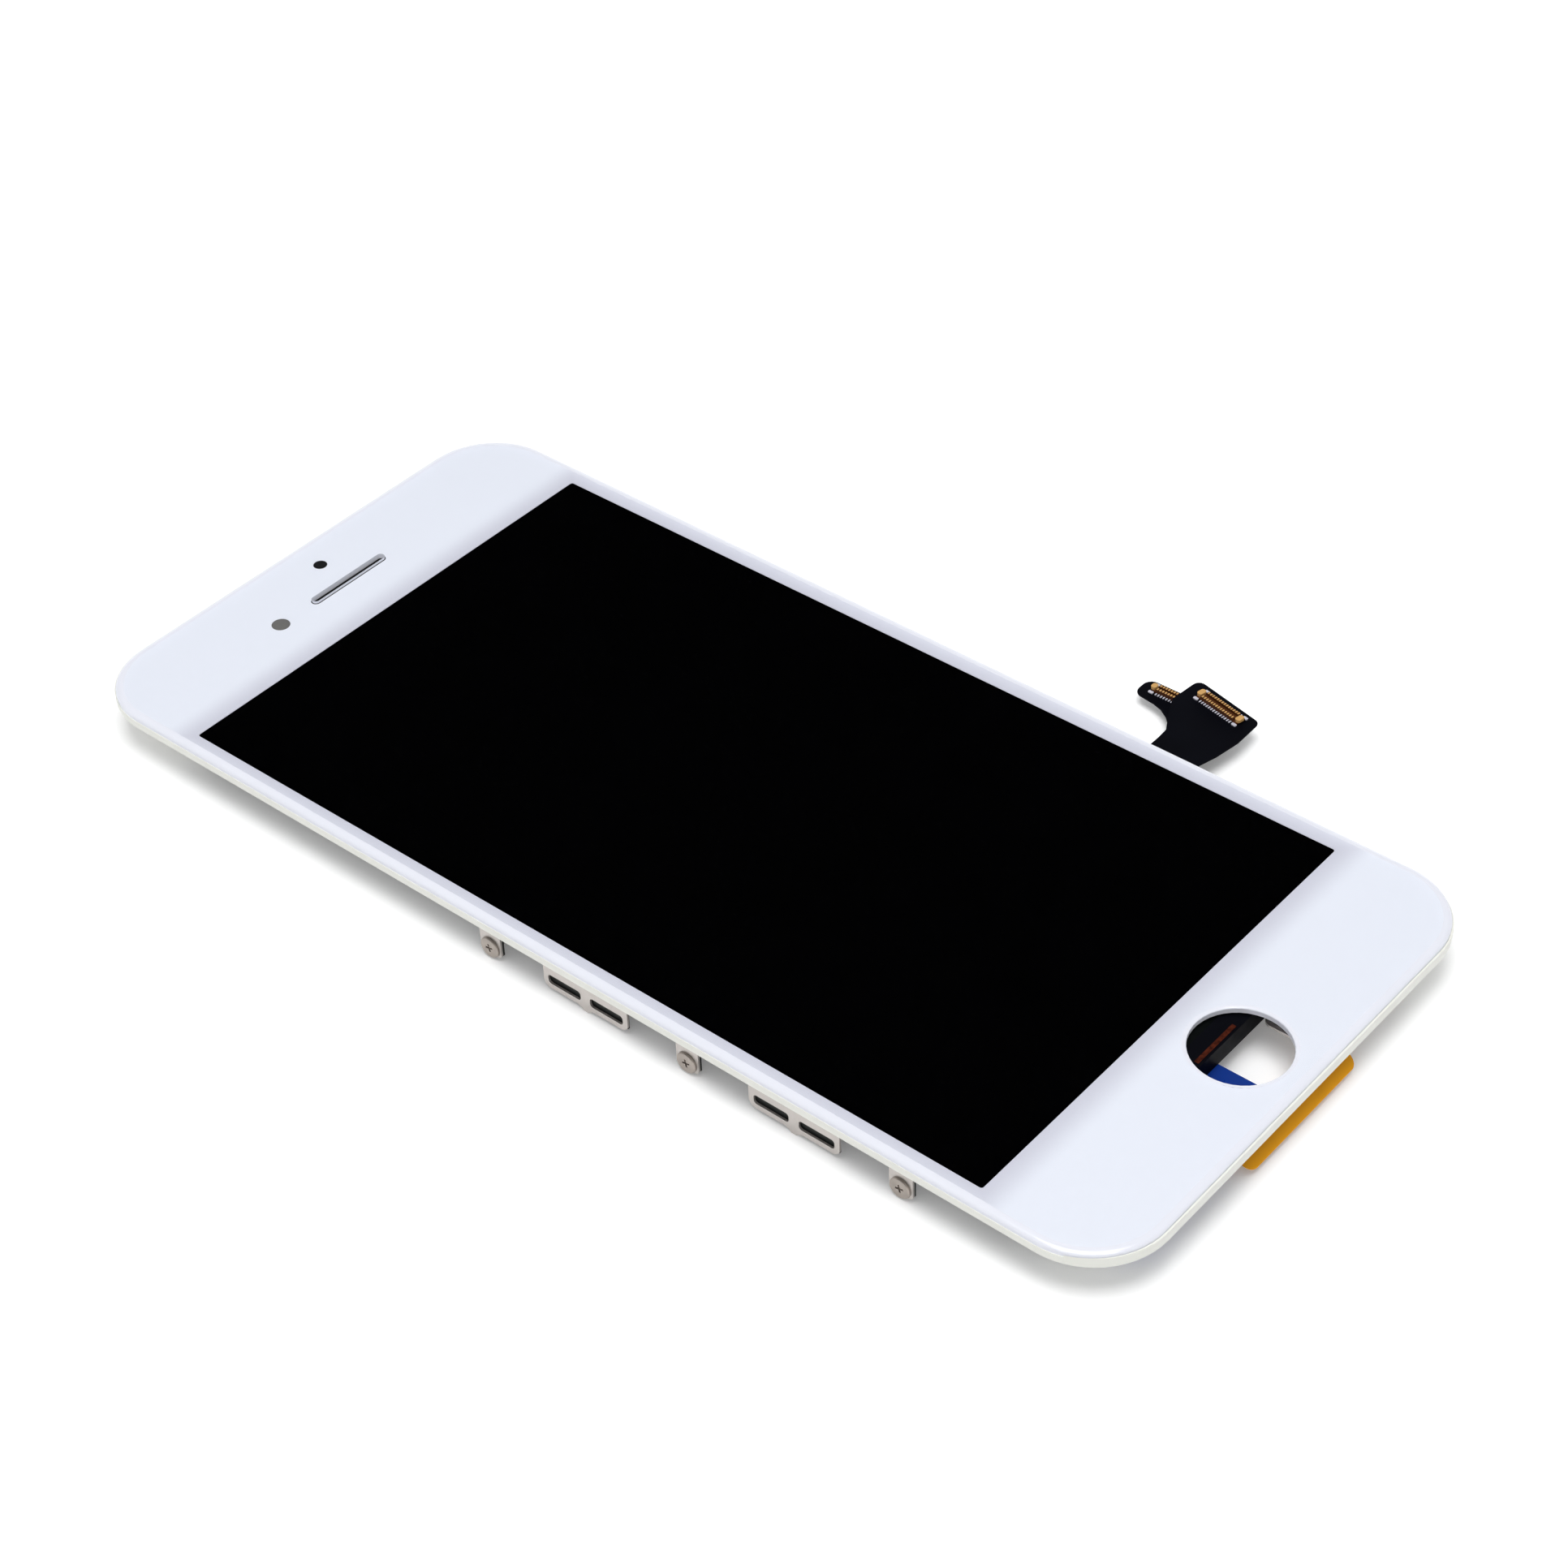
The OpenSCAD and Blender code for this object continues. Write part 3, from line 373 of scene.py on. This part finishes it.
# What mirrors sees a sky that is pale up to the first height and black above the second,
# measured on a dome of radius 1
MIRROR_PALE = (0.8, 0.8, 0.8, 1)
MIRROR_PALE_TO = 0.25
MIRROR_BLACK_FROM = 0.5


def make_floor():
    """A white floor under the part, which keeps the part's shadow."""
    corners = [(-FLOOR_REACH, -FLOOR_REACH), (FLOOR_REACH, -FLOOR_REACH),
               (FLOOR_REACH, FLOOR_REACH), (-FLOOR_REACH, FLOOR_REACH)]
    mesh = bpy.data.meshes.new("floor")
    mesh.from_pydata([(x, y, FLOOR_Z) for x, y in corners], [], [(0, 1, 2, 3)])
    floor = bpy.data.objects.new("floor", mesh)
    bpy.context.scene.collection.objects.link(floor)
    mat, tree, out = new_material("floor")
    cloth = tree.nodes.new("ShaderNodeBsdfDiffuse")
    cloth.inputs["Color"].default_value = (0.96, 0.96, 0.96, 1)
    white = tree.nodes.new("ShaderNodeEmission")
    white.inputs["Color"].default_value = (1, 1, 1, 1)
    share = tree.nodes.new("ShaderNodeMath")
    share.operation = "MULTIPLY"
    share.inputs[1].default_value = FLOOR_GLOW
    seen = seen_rays(tree, ("Is Camera Ray", "Is Glossy Ray", "Is Transmission Ray"))
    tree.links.new(seen, share.inputs[0])
    tree.links.new(share.outputs["Value"], white.inputs["Strength"])
    both = tree.nodes.new("ShaderNodeAddShader")
    tree.links.new(cloth.outputs["BSDF"], both.inputs[0])
    tree.links.new(white.outputs["Emission"], both.inputs[1])
    tree.links.new(both.outputs["Shader"], out.inputs["Surface"])
    mesh.materials.append(mat)


def make_world():
    """Even light on what is matt, a sky with a dark top in what mirrors, and a white backdrop."""
    world = bpy.data.worlds.new("studio")
    world.use_nodes = True
    tree = world.node_tree
    tree.nodes.clear()
    out = tree.nodes.new("ShaderNodeOutputWorld")
    coord = tree.nodes.new("ShaderNodeTexCoord")
    split = tree.nodes.new("ShaderNodeSeparateXYZ")
    tree.links.new(coord.outputs["Generated"], split.inputs["Vector"])
    fade = tree.nodes.new("ShaderNodeMapRange")
    fade.inputs["From Min"].default_value = MIRROR_PALE_TO
    fade.inputs["From Max"].default_value = MIRROR_BLACK_FROM
    fade.inputs["To Min"].default_value = 1.0
    fade.inputs["To Max"].default_value = 0.0
    tree.links.new(split.outputs["Z"], fade.inputs["Value"])
    mirrored = tree.nodes.new("ShaderNodeBackground")
    mirrored.inputs["Color"].default_value = MIRROR_PALE
    tree.links.new(fade.outputs["Result"], mirrored.inputs["Strength"])
    even = tree.nodes.new("ShaderNodeBackground")
    even.inputs["Color"].default_value = (0.97, 0.985, 1.0, 1)
    even.inputs["Strength"].default_value = SKY_STRENGTH
    sky = tree.nodes.new("ShaderNodeMixShader")
    tree.links.new(seen_rays(tree, ("Is Glossy Ray",)), sky.inputs[0])
    tree.links.new(even.outputs["Background"], sky.inputs[1])
    tree.links.new(mirrored.outputs["Background"], sky.inputs[2])
    white = tree.nodes.new("ShaderNodeBackground")
    white.inputs["Color"].default_value = (1, 1, 1, 1)
    white.inputs["Strength"].default_value = 1.0
    backdrop = tree.nodes.new("ShaderNodeMixShader")
    tree.links.new(seen_rays(tree, ("Is Camera Ray", "Is Transmission Ray")), backdrop.inputs[0])
    tree.links.new(sky.outputs["Shader"], backdrop.inputs[1])
    tree.links.new(white.outputs["Background"], backdrop.inputs[2])
    tree.links.new(backdrop.outputs["Shader"], out.inputs["Surface"])
    bpy.context.scene.world = world


def softbox(name, place, width, height, watts, mirrored=True):
    """A lamp with a wide face, aimed at the middle of the glass, which is the origin."""
    light = bpy.data.lights.new(name, "AREA")
    light.shape = "RECTANGLE"
    light.size = width
    light.size_y = height
    light.energy = watts
    lamp = bpy.data.objects.new(name, light)
    lamp.location = place
    aim = -Vector(place)
    lamp.rotation_euler = aim.to_track_quat("-Z", "Y").to_euler()
    lamp.visible_glossy = mirrored
    bpy.context.scene.collection.objects.link(lamp)


make_floor()
make_world()
softbox("overhead", (-0.05, -0.05, 0.75), width=0.5, height=0.5, watts=4.0)
softbox("far side", (0.5, 0.5, 0.42), width=0.5, height=0.7, watts=0.6, mirrored=False)
softbox("near side", (-0.6, -0.35, 0.3), width=0.4, height=0.5, watts=0.4, mirrored=False)


# The photo's camera, solved from the corners of the black window

VIEW_DIR = Vector((0.5735913, 0.5018742, -0.6473912))
VIEW_UP = Vector((0.5102409, 0.3993727, 0.7616795))
CAMERA_AT = Vector((-193.982, -174.299, 221.975)) * MM
PHOTO_PIXELS = 1932.0
FOCAL_PIXELS = 4066.45
SENSOR_WIDTH = 36.0


def make_camera():
    """Puts the camera where the photo was taken from."""
    data = bpy.data.cameras.new("photo")
    data.sensor_width = SENSOR_WIDTH
    data.lens = FOCAL_PIXELS * SENSOR_WIDTH / PHOTO_PIXELS
    data.clip_start = 0.01
    data.clip_end = 20.0
    camera = bpy.data.objects.new("photo", data)
    right = VIEW_DIR.cross(VIEW_UP).normalized()
    up = right.cross(VIEW_DIR).normalized()
    turn = Matrix((right, up, -VIEW_DIR.normalized())).transposed()
    camera.matrix_world = Matrix.Translation(CAMERA_AT) @ turn.to_4x4()
    bpy.context.scene.collection.objects.link(camera)
    bpy.context.scene.camera = camera


make_camera()
bpy.context.scene.view_settings.view_transform = "Standard"
